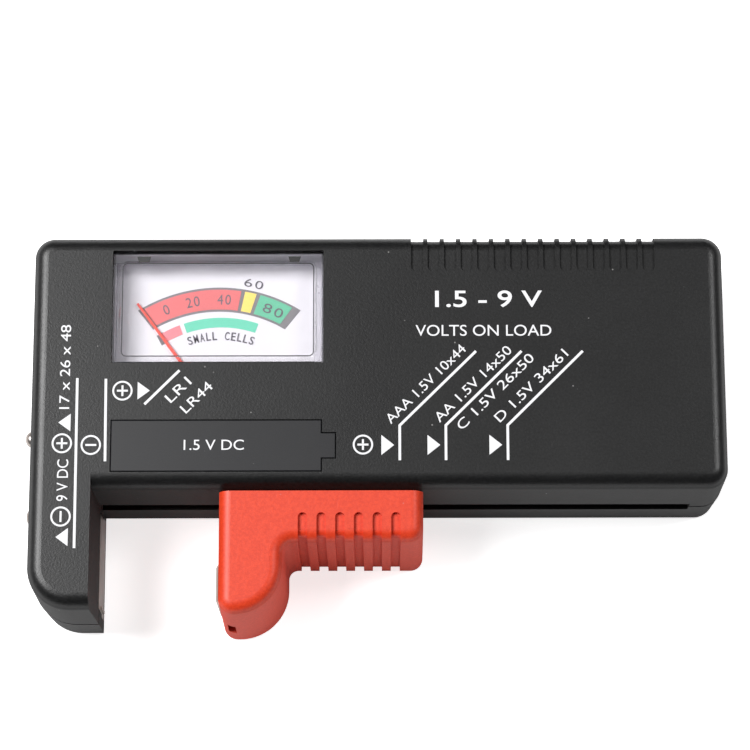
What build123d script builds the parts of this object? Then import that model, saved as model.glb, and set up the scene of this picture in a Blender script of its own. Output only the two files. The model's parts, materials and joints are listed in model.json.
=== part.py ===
"""Hand-held battery tester with a dial meter and a sliding contact arm.

Millimetres. The tester lies on its back: +X runs along the long side, +Y towards the thumb
grooves, +Z out of the dial. The origin is the centre of the main case's rest face.
"""

from build123d import *
import math
import os

# Case
body_length = 110.0
body_depth = 41.5
body_height = 25.0
parting_height = 10.4
wall = 1.8
face_wall = 1.6
draft_top = 0.4
draft_bottom = 0.2
corner_radius = 3.5
arm_corner_radius = 7.0
top_round = 2.4
bottom_round = 0.6
arm_width = 10.5
arm_reach = 18.9
seat_gap = 0.1
part_line_height = 0.5
part_line_depth = 0.5

# Thumb grooves on the back edge
groove_width = 1.95
groove_pitch = 2.62
groove_depth = 0.45
groove_length = 6.4
groove_margin = 11.2
groove_clear_of_window = 13.9

# Dial window and meter
window_inset = 12.9
window_width = 33.4
window_depth = 18.3
window_flange = 0.5
window_rim = 1.3
window_rim_back = 1.8
window_sink = 0.6
cover_gap = 0.25
cover_gap_back = 0.5
lens_drop = 1.3
lens_thickness = 1.0
pivot_below_window = 7.1
dial_drop = 5.0
dial_thickness = 0.4
tray_wall = 0.8
tray_gap = 0.4

# Movement
ring_radius = 7.2
ring_bore = 5.2
core_radius = 3.4
core_length = 2.4
needle_length = 22.1
needle_angle = 36.2
needle_sweep = 75.0
needle_width = 0.42
needle_thickness = 0.2
pivot_radius = 0.25
pivot_clearance = 0.04
coil_inner = 3.85
former_thickness = 0.15
winding_thickness = 0.5
coil_width = 1.6
bearing_radius = 0.9
spring_radius = 2.4
spring_strip = 0.08
stop_radius = 0.5
bridge_width = 2.8

# Insert panel
panel_left = 13.15
panel_front = 2.9
panel_width = 32.9
panel_depth = 8.17
panel_thickness = 1.2
panel_tab_width = 2.2
panel_tab_depth = 4.05
panel_ledge = 1.0

# Slot and slider
slot_height = 4.1
slot_end_margin = 5.3
slide_gap = 0.2
tongue_clearance = 0.5
tongue_inset_left = 1.7
tongue_inset_right = 2.1
grip_left = 29.9
grip_length = 32.2
grip_reach = 8.32
grip_arm_width = 10.5
grip_arm_reach = 19.55
grip_height = 25.0
grip_foot = 0.3
grip_draft = 0.45
grip_side_draft = 0.2
grip_wall = 1.8
grip_round = 1.9
nose_radius = 7.9
rib_first = 12.52
rib_pitch = 2.9
rib_width = 1.45
rib_depth = 0.67
rib_count = 6
rib_start = 3.44
carriage_depth = 5.0
carriage_bottom = 4.5
carriage_top = 12.0
strip_thickness = 0.3
strip_setback = 0.15
strip_bottom = 5.0
strip_top = 19.0
strip_bow = 0.55
bow_start = 7.0
bow_slope = 0.9
hook_bottom = 6.2
hook_top = 12.0

# Contacts
plate_thickness = 0.5
plate_top = 10.0
plate_bottom = 1.4
plate_setback = 0.15
plate_near = 1.3
plate_far = 16.0
stud_radius = 1.3
stud_height = 13.2
stud_spacing = 12.7
positive_stud_y = 10.6
positive_stud_reach = 1.6
negative_stud_reach = 1.1
stud_shank = 0.9
locating_rib_y = 3.1
locating_rib_width = 1.2
locating_rib_top = 16.0
locating_rib_reach = 0.35
runner_gap = 1.95
runner_thickness = 0.5
runner_bottom = 4.9
runner_top = 12.0

# Fasteners, wires and resistors
screw_radius = 1.2
screw_head_radius = 2.3
screw_head_height = 1.5
screw_length = 12.0
boss_radius = 3.0
boss_inset = 5.6
boss_clear_of_runner = 2.0
arm_boss_inset = 6.6
pilot_radius = 1.05
small_screw_radius = 0.8
small_screw_head = 1.5
small_screw_inset = 6.0
wire_radius = 0.6
resistor_radius = 1.7
resistor_length = 8.0
lead_radius = 0.35
terminal_radius = 0.5
terminal_offset_left = 5.6
terminal_offset_right = 8.4
terminal_above_pivot = 11.8

# Places that follow from the sizes
left = -body_length / 2
right = body_length / 2
front = -body_depth / 2
back = body_depth / 2
top = body_height
arm_face = left + arm_width
arm_end = front - arm_reach
shell_inset = wall + draft_top
inner_front = front + shell_inset
inner_back = back - shell_inset
slot_bottom = parting_height - slot_height / 2
slot_top = parting_height + slot_height / 2
slot_end = right - slot_end_margin
window_left = left + window_inset
window_right = window_left + window_width
window_back = inner_back - window_flange - seat_gap
window_front = window_back - window_depth
pivot_x = (window_left + window_right) / 2
pivot_y = window_front - pivot_below_window
under_face = top - face_wall
dial_top = top - dial_drop
lens_top = top - lens_drop
lens_bottom = lens_top - lens_thickness
tray_top = under_face - 0.8
tray_bottom = carriage_top + tray_gap
tray_floor = tray_bottom + tray_wall
tray_left = window_left - window_flange
tray_right = window_right + window_flange
tray_front = pivot_y - ring_radius - 0.4 - tray_wall
tray_back = window_back + window_flange
core_top = dial_top - 1.5
core_bottom = core_top - core_length
ring_top = core_top + 0.7
ring_bottom = core_bottom - 0.7
former_gap = 0.45
winding_top = core_top + former_gap + former_thickness + winding_thickness
winding_bottom = core_bottom - former_gap - former_thickness - winding_thickness
needle_bottom = dial_top + 0.35
bridge_bottom = under_face - 1.35
bridge_thickness = 0.6
carriage_front = inner_front + 0.15
carriage_back = carriage_front + carriage_depth
runner_front = carriage_back + runner_gap
grip_back = front - slide_gap
tongue_left = left + grip_left + tongue_inset_left
tongue_right = left + grip_left + grip_length - tongue_inset_right
tongue_bottom = slot_bottom + tongue_clearance
tongue_top = slot_top - tongue_clearance
small_screw_z = (tongue_bottom + tongue_top) / 2
small_screw_xs = (tongue_left + small_screw_inset, tongue_right - small_screw_inset)
plate_face = arm_face - plate_setback
negative_stud_y = positive_stud_y - stud_spacing
boss_places = [
    (left + boss_inset, back - boss_inset),
    (right - boss_inset, back - boss_inset),
    (right - boss_inset, runner_front + runner_thickness + boss_radius + boss_clear_of_runner),
    (left + arm_width / 2, arm_end + arm_boss_inset),
]
terminal_left = (pivot_x - terminal_offset_left, pivot_y + terminal_above_pivot)
terminal_right = (pivot_x + terminal_offset_right, pivot_y + terminal_above_pivot)
terminal_low = tray_bottom - 4.0


def block(x0, x1, y0, y1, z0, z1):
    """Box between two corners."""
    return Pos((x0 + x1) / 2, (y0 + y1) / 2, (z0 + z1) / 2) * Box(x1 - x0, y1 - y0, z1 - z0)


def rod(x, y, z0, z1, radius):
    """Cylinder along Z."""
    return Pos(x, y, (z0 + z1) / 2) * Cylinder(radius, z1 - z0)


def rod_x(x0, x1, y, z, radius):
    """Cylinder along X."""
    return Pos((x0 + x1) / 2, y, z) * Rot(0, 90, 0) * Cylinder(radius, x1 - x0)


def rod_y(x, y0, y1, z, radius):
    """Cylinder along Y."""
    return Pos(x, (y0 + y1) / 2, z) * Rot(90, 0, 0) * Cylinder(radius, y1 - y0)


def rounded_face(points, radii, z):
    """Flat face at height z with a radius at each corner."""
    return Pos(0, 0, z) * make_face(FilletPolyline(*points, radius=radii, close=True))


def case_outline(inset, low_y, low_left_radius, z):
    """Rectangle of the case, from low_y to the back edge, drawn in by inset."""
    x0, x1 = left + inset, right - inset
    y0, y1 = low_y + inset, back - inset
    radius = max(corner_radius - inset, 0.3)
    return rounded_face(
        [(x0, y0), (x1, y0), (x1, y1), (x0, y1)],
        [max(low_left_radius - inset, 0.3), radius, radius, radius],
        z,
    )


def case_block(low_y, low_left_radius, depth=0.0):
    """Drafted, rounded case body, all its faces moved inwards by depth."""
    upper = loft(
        [
            case_outline(depth, low_y, low_left_radius, parting_height),
            case_outline(depth + draft_top, low_y, low_left_radius, top - depth),
        ],
        ruled=True,
    )
    lower = loft(
        [
            case_outline(depth + draft_bottom, low_y, low_left_radius, depth),
            case_outline(depth, low_y, low_left_radius, parting_height),
        ],
        ruled=True,
    )
    upper = fillet(upper.faces().sort_by(Axis.Z)[-1].edges(), top_round - depth)
    lower = fillet(lower.faces().sort_by(Axis.Z)[0].edges(), bottom_round - depth)
    return upper, lower


def arm_side():
    """Everything on the arm's side of its drafted inner face."""
    far = left - 10
    outline = Polyline(
        (far, 0),
        (arm_face - draft_bottom, 0),
        (arm_face, parting_height),
        (arm_face - draft_top, top),
        (far, top),
        close=True,
    )
    return extrude(Plane.XZ * make_face(outline), amount=body_depth + arm_reach + 20, both=True)


def solid_halves():
    """The upper and lower outside shapes of the L-shaped case, both solid."""
    main = case_block(front, corner_radius)
    reach = case_block(arm_end, arm_corner_radius)
    side = arm_side()
    return [(body - side) + (long_body & side) for body, long_body in zip(main, reach)]


def case_slab(inset, z0, z1):
    """L-shaped slab of the case between two heights, drawn in by inset."""
    main = extrude(case_outline(inset, front, corner_radius, z0), amount=z1 - z0)
    reach = extrude(case_outline(inset, arm_end, arm_corner_radius, z0), amount=z1 - z0)
    return main + (reach & block(left, arm_face - inset, arm_end, back, z0, z1))


def case_cavity(z0, z1):
    """Space inside the L-shaped case between two heights."""
    return case_slab(shell_inset, z0, z1)


def part_line():
    """Narrow shadow groove round the case where the two shells meet."""
    z0, z1 = parting_height, parting_height + part_line_height
    around = block(left - 1, right + 1, arm_end - 1, back + 1, z0, z1)
    return around - case_slab(part_line_depth, z0, z1)


def slider_slot():
    """The long slot in the front wall, half in each shell."""
    return block(arm_face, slot_end, front - 1, inner_front + 0.5, slot_bottom, slot_top)


def plate_opening():
    """Opening in the arm's inner wall in front of the fixed contact."""
    y0, y1 = front - plate_far - 0.4, front - plate_near + 0.4
    return block(arm_face - shell_inset - 0.5, arm_face + 1, y0, y1, plate_bottom, plate_top + 2.0)


def groove_layer():
    """Thin layer under the case's skin that each thumb groove removes."""
    first = window_right + groove_clear_of_window
    last = right - groove_margin - groove_width
    count = round((last - first) / groove_pitch) + 1
    front_end = back - groove_length
    grooves = []
    for index in range(count):
        x = first + index * groove_pitch
        centre = x + groove_width / 2
        grooves.append(
            block(x, x + groove_width, front_end + groove_width / 2, back + 2, parting_height, top + 1)
            + rod(centre, front_end + groove_width / 2, parting_height, top + 1, groove_width / 2)
        )
    core = case_block(front, corner_radius, groove_depth)[0]
    return [groove - core for groove in grooves]


def panel_shape(gap, z0, z1, shrink=0.0):
    """Outline of the insert panel with its tab, grown by gap and drawn in by shrink."""
    grow = gap - shrink
    x0, y0 = left + panel_left, front + panel_front
    x1, y1 = x0 + panel_width, y0 + panel_depth
    middle = (y0 + y1) / 2
    plate = block(x0 - grow, x1 + grow, y0 - grow, y1 + grow, z0, z1)
    half_tab = panel_tab_depth / 2
    tab_front = middle - half_tab - grow
    tab_back = middle + half_tab + grow
    tab = block(x1 - 1, x1 + panel_tab_width + grow, tab_front, tab_back, z0, z1)
    return plate + tab


def stud_hole(y):
    """Hole for a terminal stud in the left wall."""
    return rod_x(left - 2, left + shell_inset + 1, front + y, stud_height, stud_shank + 0.05)


def front_shell(half):
    """Upper shell: face, drafted walls, bosses, window, panel seat and thumb grooves."""
    shell = half - case_cavity(parting_height - 1, under_face)
    for x, y in boss_places:
        shell += rod(x, y, parting_height, under_face + 0.2, boss_radius)
        shell -= rod(x, y, parting_height - 1, screw_length + 2.5, pilot_radius)
    shell -= block(window_left, window_right, window_front, window_back, under_face - 1, top + 1)
    shell -= panel_shape(seat_gap, top - panel_thickness, top + 1)
    shell -= panel_shape(0, under_face - 1, top, panel_ledge)
    shell -= slider_slot()
    shell -= plate_opening()
    shell -= stud_hole(positive_stud_y)
    shell -= stud_hole(negative_stud_y)
    rib = block(
        left,
        left + 1.5,
        front + locating_rib_y - locating_rib_width / 2,
        front + locating_rib_y + locating_rib_width / 2,
        parting_height,
        locating_rib_top,
    )
    shell += Pos(-locating_rib_reach, 0, 0) * rib
    for layer in groove_layer():
        shell -= layer
    shell -= part_line()
    return shell - plate_body(0.05)


def rear_shell(half):
    """Lower shell: floor, walls, locating lip, screw columns, posts and strip supports."""
    shell = half - case_cavity(face_wall, parting_height + 1)
    lip_outer = case_outline(shell_inset + seat_gap, front, corner_radius, parting_height - 1.5)
    lip_inner = case_outline(shell_inset + 0.9, front, corner_radius, parting_height - 1.5)
    lip = extrude(lip_outer, amount=2.7) - extrude(lip_inner, amount=2.7)
    root = extrude(case_outline(shell_inset - 0.2, front, corner_radius, parting_height - 1.5), amount=1.5)
    root -= extrude(lip_inner, amount=1.5)
    lip += root
    lip -= block(left, right, arm_end, runner_front + runner_thickness + 2, 0, top)
    for x, y in boss_places:
        lip -= rod(x, y, 0, top, boss_radius + 0.6)
    shell += lip
    for x, y in boss_places:
        shell += rod(x, y, face_wall / 2, parting_height, boss_radius + 0.2)
        shell -= rod(x, y, -1, parting_height + 1, screw_radius + 0.15)
        shell -= rod(x, y, -1, screw_head_height + 0.6, screw_head_radius + 0.2)
    for x, y in meter_posts():
        shell += rod(x, y, face_wall - 0.2, tray_bottom, 1.5)
    for x in runner_supports():
        y0 = runner_front - 0.6
        y1 = runner_front + runner_thickness + 1.2
        shell += block(x - 0.8, x + 0.8, y0, y1, face_wall - 0.2, runner_bottom + 0.6)
        shell += block(x - 0.8, x + 0.8, y1 - 1.2, y1, face_wall - 0.2, runner_top)
    shell -= runner_strip()
    shell -= slider_slot()
    shell -= plate_opening()
    return shell - plate_body(0.05)


def meter_posts():
    """Places of the posts that the meter tray rests on."""
    return [
        (tray_left + 3.5, window_back - 3.0),
        (tray_right - 3.5, window_back - 3.0),
        (pivot_x, runner_front + runner_thickness + 4.0),
    ]


def runner_supports():
    """Places of the four ribs that hold the runner strip."""
    first = arm_face + 2.0
    last = slot_end - 1.5
    return [first + (last - first) * index / 3 for index in range(4)]


def insert_panel():
    """Flush plate with a locking tab, seated on the ledge around its opening."""
    panel = panel_shape(0, top - panel_thickness, top)
    rim = panel.faces().sort_by(Axis.Z)[-1].edges()
    return chamfer(rim, 0.12)


def meter_window():
    """Clear meter cover: flange under the face, bevelled rim and a sunk pane."""
    flange = block(tray_left, tray_right, window_front - window_flange, tray_back, tray_top, under_face)
    x0, x1 = window_left + seat_gap, window_right - cover_gap
    y0, y1 = window_front + cover_gap, window_back - cover_gap_back
    cover = flange + block(x0, x1, y0, y1, tray_top, top - window_sink)
    pane = rounded_face(
        [
            (window_left + window_rim, window_front + window_rim),
            (window_right - window_rim, window_front + window_rim),
            (window_right - window_rim, window_back - window_rim_back),
            (window_left + window_rim, window_back - window_rim_back),
        ],
        1.2,
        lens_top,
    )
    cover -= extrude(pane, amount=3, taper=-20)
    under = block(
        x0 + window_rim, x1 - window_rim, y0 + window_rim, y1 - window_rim, tray_top - 1, lens_bottom
    )
    return cover - under


def meter_case():
    """Tray that holds the scale, the yoke and the terminals."""
    tray = block(tray_left, tray_right, tray_front, tray_back, tray_bottom, tray_top)
    inside = block(
        tray_left + tray_wall,
        tray_right - tray_wall,
        tray_front + tray_wall,
        tray_back - tray_wall,
        tray_floor,
        tray_top + 1,
    )
    tray -= inside
    ledge_top = dial_top - dial_thickness
    ledge = block(
        tray_left, tray_right, window_front - 0.6, tray_back, tray_bottom, ledge_top
    ) - block(
        tray_left + tray_wall + 1.2,
        tray_right - tray_wall - 1.2,
        window_front - 1.6,
        tray_back - tray_wall - 1.2,
        tray_floor,
        ledge_top + 1,
    )
    tray += ledge
    for angle in (45, 135, 225, 315):
        x = pivot_x + (ring_radius - 1.0) * math.cos(math.radians(angle))
        y = pivot_y + (ring_radius - 1.0) * math.sin(math.radians(angle))
        tray += rod(x, y, tray_floor - 0.2, ring_bottom, 0.8)
    for x, y in (terminal_left, terminal_right):
        tray -= rod(x, y, tray_bottom - 1, tray_floor + 1, terminal_radius)
    tray += stop_posts(stop_radius)
    return tray


def stop_posts(radius):
    """Two posts beside the ends of the needle's sweep."""
    radius_at = ring_radius + stop_radius + 0.25
    posts = None
    for angle, side in ((needle_angle, 1), (needle_angle - needle_sweep, -1)):
        offset = side * (needle_width / 2 + stop_radius + 0.1)
        reach = math.radians(angle)
        x = pivot_x - radius_at * math.sin(reach) - offset * math.cos(reach)
        y = pivot_y + radius_at * math.cos(reach) - offset * math.sin(reach)
        post = rod(x, y, tray_floor - 0.2, needle_bottom + 0.8, radius)
        posts = post if posts is None else posts + post
    return posts


def dial_plate():
    """Flat printed scale on the tray's ledge."""
    gap = tray_wall + seat_gap
    plate = block(
        tray_left + gap,
        tray_right - gap,
        window_front - 0.6,
        tray_back - gap,
        dial_top - dial_thickness,
        dial_top,
    )
    return plate - stop_posts(stop_radius + seat_gap)


def meter_yoke():
    """Soft-iron return ring around the coil."""
    return rod(pivot_x, pivot_y, ring_bottom, ring_top, ring_radius) - rod(
        pivot_x, pivot_y, ring_bottom - 1, ring_top + 1, ring_bore
    )


def meter_core():
    """Cylindrical magnet inside the coil."""
    return rod(pivot_x, pivot_y, core_bottom, core_top, core_radius)


def core_spacers():
    """Two brass blocks between magnet and ring, in the sectors that the coil never reaches."""
    ring = rod(pivot_x, pivot_y, core_bottom, core_top, ring_bore)
    ring -= rod(pivot_x, pivot_y, core_bottom - 1, core_top + 1, core_radius)
    sector = block(pivot_x - 1.1, pivot_x + 1.1, pivot_y - 10, pivot_y + 10, 0, top)
    return ring & sector


def coil_frame(inner, outer, z_low, z_high, thickness):
    """Rectangular loop around the core, in the plane through the pivot across the needle."""
    outside = block(-outer, outer, -coil_width / 2, coil_width / 2, z_low, z_high)
    hole = block(-inner, inner, -coil_width, coil_width, z_low + thickness, z_high - thickness)
    return at_needle_rest(outside - hole)


def at_needle_rest(shape):
    """Turns a shape drawn with the needle along +Y to the zero stop, about the pivot."""
    return Pos(pivot_x, pivot_y, 0) * Rot(0, 0, needle_angle) * shape


def coil_former():
    """Thin aluminium frame that the coil is wound on."""
    z_low = core_bottom - former_gap - former_thickness
    z_high = core_top + former_gap + former_thickness
    return coil_frame(coil_inner, coil_inner + former_thickness, z_low, z_high, former_thickness)


def coil_winding():
    """Copper winding on the former."""
    inner = coil_inner + former_thickness
    return coil_frame(inner, inner + winding_thickness, winding_bottom, winding_top, winding_thickness)


def front_pivot():
    """Steel pivot from the top of the coil through the hub into the front bearing."""
    tip = bridge_bottom + bridge_thickness - 0.15
    return rod(pivot_x, pivot_y, winding_top, tip, pivot_radius)


def rear_pivot():
    """Steel pivot from the bottom of the coil into the rear bearing."""
    return rod(pivot_x, pivot_y, tray_floor + 0.15, winding_bottom, pivot_radius)


def bearing(z0, z1, mouth_up):
    """Jewel cup with a blind hole for the pivot."""
    cup = rod(pivot_x, pivot_y, z0, z1, bearing_radius)
    floor_thickness = 0.1
    hole_low = z0 + floor_thickness if mouth_up else z0 - 1
    hole_high = z1 + 1 if mouth_up else z1 - floor_thickness
    return cup - rod(pivot_x, pivot_y, hole_low, hole_high, pivot_radius + pivot_clearance)


def front_bearing():
    """Jewel cup in the front bridge, with its mouth down."""
    return bearing(bridge_bottom - 0.2, bridge_bottom + bridge_thickness, False)


def rear_bearing():
    """Jewel cup in the rear bridge, with its mouth up."""
    return bearing(tray_floor, tray_floor + 0.7, True)


def bridge(z0, thickness):
    """Flat strip across the ring with a hole for a bearing."""
    half_length = (ring_radius + ring_bore) / 2
    y0, y1 = pivot_y - bridge_width / 2, pivot_y + bridge_width / 2
    strip = block(pivot_x - half_length, pivot_x + half_length, y0, y1, z0, z0 + thickness)
    for side in (-1, 1):
        strip += rod(pivot_x + side * half_length, pivot_y, z0, z0 + thickness, 1.4)
    return strip - rod(pivot_x, pivot_y, z0 - 1, z0 + thickness + 1, bearing_radius)


def pillar_places():
    """Places of the two pillars that carry the front bridge."""
    half_length = (ring_radius + ring_bore) / 2
    return [(pivot_x - half_length, pivot_y), (pivot_x + half_length, pivot_y)]


def front_bridge():
    """Bridge over the movement, drilled for its two screws."""
    strip = bridge(bridge_bottom, bridge_thickness)
    for x, y in pillar_places():
        strip -= rod(x, y, bridge_bottom - 1, under_face, 0.45)
    return strip


def rear_bridge():
    """Strip on the tray floor under the movement."""
    return bridge(tray_floor, 0.5)


def bridge_pillars():
    """Two brass pillars between the yoke and the front bridge."""
    pillars = [rod(x, y, ring_top, bridge_bottom, 0.9) for x, y in pillar_places()]
    holes = [rod(x, y, bridge_bottom - 1.2, bridge_bottom, 0.4) for x, y in pillar_places()]
    return Compound(children=[pillar - hole for pillar, hole in zip(pillars, holes)])


def bridge_screws():
    """Two small screws that hold the front bridge."""
    screws = []
    seat = bridge_bottom + bridge_thickness
    for x, y in pillar_places():
        screw = rod(x, y, bridge_bottom - 1.0, seat, 0.4) + rod(x, y, seat, seat + 0.5, 0.85)
        screw -= block(x - 0.12, x + 0.12, y - 1, y + 1, seat + 0.3, seat + 1)
        screws.append(screw)
    return Compound(children=screws)


def zero_arm():
    """Ring around the front bearing with a tag for the hairspring's outer end."""
    z1 = bridge_bottom
    z0 = z1 - 0.2
    arm = rod(pivot_x, pivot_y, z0, z1, 1.5)
    arm += block(pivot_x - 0.5, pivot_x + 0.5, pivot_y - spring_radius - 0.5, pivot_y, z0, z1)
    arm += block(
        pivot_x - 0.5,
        pivot_x + 0.5,
        pivot_y - spring_radius - 0.7,
        pivot_y - spring_radius - 0.3,
        z0 - 0.5,
        z1,
    )
    return arm - rod(pivot_x, pivot_y, z0 - 1, z1 + 1, bearing_radius)


def needle_hub():
    """Hub on the front pivot with the pointer's seat and three balance arms."""
    hub = Cylinder(0.9, 0.35) + Pos(0, -1.6, 0) * Box(0.5, 3.2, 0.35)
    hub += Pos(1.6, 0, 0) * Box(3.2, 0.4, 0.35)
    hub += Pos(-1.6, 0, 0) * Box(3.2, 0.4, 0.35)
    hub -= Cylinder(pivot_radius, 2)
    return at_needle_rest(Pos(0, 0, needle_bottom - 0.175) * hub)


def balance_weights():
    """Three small weights on the hub's arms."""
    z = needle_bottom + 0.25
    spots = [(0, -2.6), (2.6, 0), (-2.6, 0)]
    weights = [at_needle_rest(Pos(x, y, z) * Cylinder(0.5, 0.5)) for x, y in spots]
    return Compound(children=weights)


def needle():
    """Flat pointer, a little narrower towards its tip."""
    root = needle_width * 0.75
    tip = needle_width * 0.45
    outline = Polyline((-root, 0.4), (root, 0.4), (tip, needle_length), (-tip, needle_length), close=True)
    pointer = extrude(make_face(outline), amount=needle_thickness)
    pointer += Pos(0, 0, needle_thickness / 2) * Cylinder(0.7, needle_thickness)
    pointer -= Cylinder(pivot_radius, 4)
    return at_needle_rest(Pos(0, 0, needle_bottom) * pointer)


def hairspring(z):
    """Flat spiral strip from the pivot's collar to its anchor."""
    turns = 3.0
    steps = 60
    start = pivot_radius + 0.1

    def at(fraction, offset):
        angle = -math.pi / 2 + 2 * math.pi * turns * fraction
        radius = start + (spring_radius - start) * fraction + offset
        return (radius * math.cos(angle), radius * math.sin(angle))

    outer = [at(index / steps, spring_strip / 2) for index in range(steps + 1)]
    inner = [at(index / steps, -spring_strip / 2) for index in range(steps + 1)]
    edges = [Spline(*outer), Line(outer[-1], inner[-1]), Spline(*inner), Line(inner[0], outer[0])]
    return Pos(pivot_x, pivot_y, z) * extrude(make_face(edges), amount=0.3)


def meter_terminals():
    """Two solder pins through the tray floor."""
    pins = []
    for x, y in (terminal_left, terminal_right):
        pin = rod(x, y, terminal_low, tray_floor + 0.6, terminal_radius)
        pin += rod(x, y, tray_floor, tray_floor + 0.6, terminal_radius + 0.5)
        pins.append(pin)
    return Compound(children=pins)


def plate_body(grow=0.0):
    """Upright contact plate in the arm, with its flared end and its solder tag."""
    x1 = plate_face + grow
    x0 = plate_face - plate_thickness - grow
    y0 = front - plate_far - 0.8
    y1 = front - plate_near + 0.8
    plate = block(x0, x1, y0 - grow, y1 + grow, plate_bottom - grow, plate_top + grow)
    tag_left = arm_face - shell_inset - 2.6
    tag_front = y1 - plate_thickness - grow
    tag = block(tag_left - grow, x0 + 0.1, tag_front, y1 + grow, 3.0, plate_top - 1.0 + grow)
    return plate + tag


def fixed_contact():
    """Contact plate with a small flared guide at its far end."""
    flare = block(plate_face - 0.1, plate_face + 0.3, front - plate_far, front - plate_far + 0.5, 3.0, 7.6)
    return plate_body() + flare


def terminal_stud(y, reach):
    """Domed stud through the left wall, clinched inside, with a solder tag."""
    place = front + y
    outer = left - reach
    seat = left + 0.04
    head = rod_x(outer, seat, place, stud_height, stud_radius)
    head = fillet(head.edges().sort_by(Axis.X)[0], min(reach, stud_radius) - 0.2)
    shank = rod_x(outer + 0.4, left + shell_inset + 0.7, place, stud_height, stud_shank)
    clinch = rod_x(left + shell_inset, left + shell_inset + 0.4, place, stud_height, stud_shank + 0.6)
    tag = block(
        left + shell_inset + 0.4,
        left + shell_inset + 0.8,
        place - 1,
        place + 1,
        stud_height - 4,
        stud_height + 1,
    )
    return head + shank + clinch + tag


def runner_strip():
    """Long brass strip behind the slot, with a solder tab at its right end."""
    x0 = arm_face + 1.0
    x1 = slot_end - 0.4
    return block(x0, x1, runner_front, runner_front + runner_thickness, runner_bottom, runner_top)


def resistor(start, end, radius, length):
    """Axial resistor with necked ends and straight leads, lying along Y."""
    x, y0, z = start
    y1 = end[1]
    middle = (y0 + y1) / 2
    half = length / 2
    body = rod_y(x, middle - half + 0.8, middle + half - 0.8, z, radius * 0.88)
    for side in (-1, 1):
        cap = middle + side * (half - 1.1)
        end_cap = rod_y(x, cap - 1.1, cap + 1.1, z, radius)
        body += fillet(end_cap.edges().filter_by(GeomType.CIRCLE), 0.35)
    return body + rod_y(x, y0, y1, z, lead_radius)


def resistors():
    """Load, cell and nine-volt resistors, soldered to the runner strip and the terminals."""
    z = terminal_low + 1.2
    strip_back = runner_front + runner_thickness
    load = resistor(
        (terminal_left[0], strip_back, z),
        (terminal_left[0], terminal_left[1] - terminal_radius + 0.1, z),
        resistor_radius,
        resistor_length,
    )
    cell = resistor(
        (terminal_right[0], strip_back, z),
        (terminal_right[0], terminal_right[1] - terminal_radius + 0.1, z),
        resistor_radius * 0.7,
        resistor_length * 0.8,
    )
    nine_volt = resistor(
        (terminal_right[0], terminal_right[1] + terminal_radius - 0.1, z),
        (terminal_right[0], inner_back - 3.5, z),
        resistor_radius * 0.7,
        resistor_length * 0.8,
    )
    return {"load_resistor": load, "cell_resistor": cell, "nine_volt_resistor": nine_volt}


def wire(points, radii):
    """Insulated wire swept along straight runs joined by arcs."""
    path = FilletPolyline(*points, radius=radii)
    start = path @ 0
    section = Plane(origin=start, z_dir=path % 0) * Circle(wire_radius)
    return sweep(section, path=path)


def wires():
    """The three insulated wires inside the case."""
    tag_x = arm_face - shell_inset - 2.0
    tag_y = front - plate_near + 0.8
    low = face_wall + 2.0
    stud_tag = left + shell_inset + 0.8
    turn = 2.0
    negative = wire(
        [
            (tag_x, tag_y, 5.0),
            (tag_x, runner_front + 4.0, 5.0),
            (terminal_left[0] - 6.0, terminal_left[1], low + 1.0),
            (terminal_left[0] - terminal_radius, terminal_left[1], terminal_low + 0.8),
        ],
        turn,
    )
    nine_negative = wire(
        [
            (tag_x, tag_y - plate_thickness, 6.0),
            (tag_x, front + negative_stud_y - 3.4, 6.0),
            (stud_tag + 1.6, front + negative_stud_y - 3.4, stud_height - 3.0),
            (stud_tag + 1.6, front + negative_stud_y, stud_height - 1.0),
            (stud_tag, front + negative_stud_y, stud_height - 1.0),
        ],
        [1.2, 1.0, 0.7],
    )
    bend_y = inner_back - 7.5
    nine_positive = wire(
        [
            (terminal_right[0], inner_back - 3.5, terminal_low + 1.2),
            (terminal_right[0] - 6.0, bend_y, terminal_low),
            (left + 13.0, bend_y, terminal_low),
            (left + 10.5, front + positive_stud_y + 8.0, terminal_low + 1.0),
            (stud_tag + 3.0, front + positive_stud_y, stud_height - 1.0),
            (stud_tag, front + positive_stud_y, stud_height - 1.0),
        ],
        [2.5, 2.5, 2.5, 1.2],
    )
    return {
        "fixed_contact_wire": negative,
        "nine_volt_negative_wire": nine_negative,
        "nine_volt_positive_wire": nine_positive,
    }


def grip_outline(z, front_inset, side_inset, corner):
    """Plan of the sliding arm at height z."""
    x0 = left + grip_left + side_inset
    x1 = left + grip_left + grip_length - side_inset
    arm_right = left + grip_left + grip_arm_width - front_inset
    low = front - grip_arm_reach - 0.2 + front_inset
    shoulder = front - grip_reach - 0.2 + front_inset
    width = arm_right - x0
    tip_radius = corner + 0.2
    return rounded_face(
        [
            (x0, grip_back),
            (x0, low),
            (arm_right, low),
            (arm_right, shoulder),
            (x1, shoulder),
            (x1, grip_back),
        ],
        [0, tip_radius, min(nose_radius, width - tip_radius - 0.1), 1.5 + front_inset, corner, 0],
        z,
    )


def grip_block(depth, z0):
    """Drafted and rounded outside of the sliding arm, its faces moved inwards by depth."""
    z1 = grip_height - depth
    corner = grip_round + 0.1
    base = grip_outline(z0, depth, depth, corner - depth * 0.5)
    crown = grip_outline(z1, depth + grip_draft, depth + grip_side_draft, corner + 0.2)
    body = loft([base, crown], ruled=True)
    edges = body.faces().sort_by(Axis.Z)[-1].edges()
    rounded = [edge for edge in edges if edge.center().Y < grip_back - 0.5]
    return fillet(rounded, max(grip_round - depth, 0.2))


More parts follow.
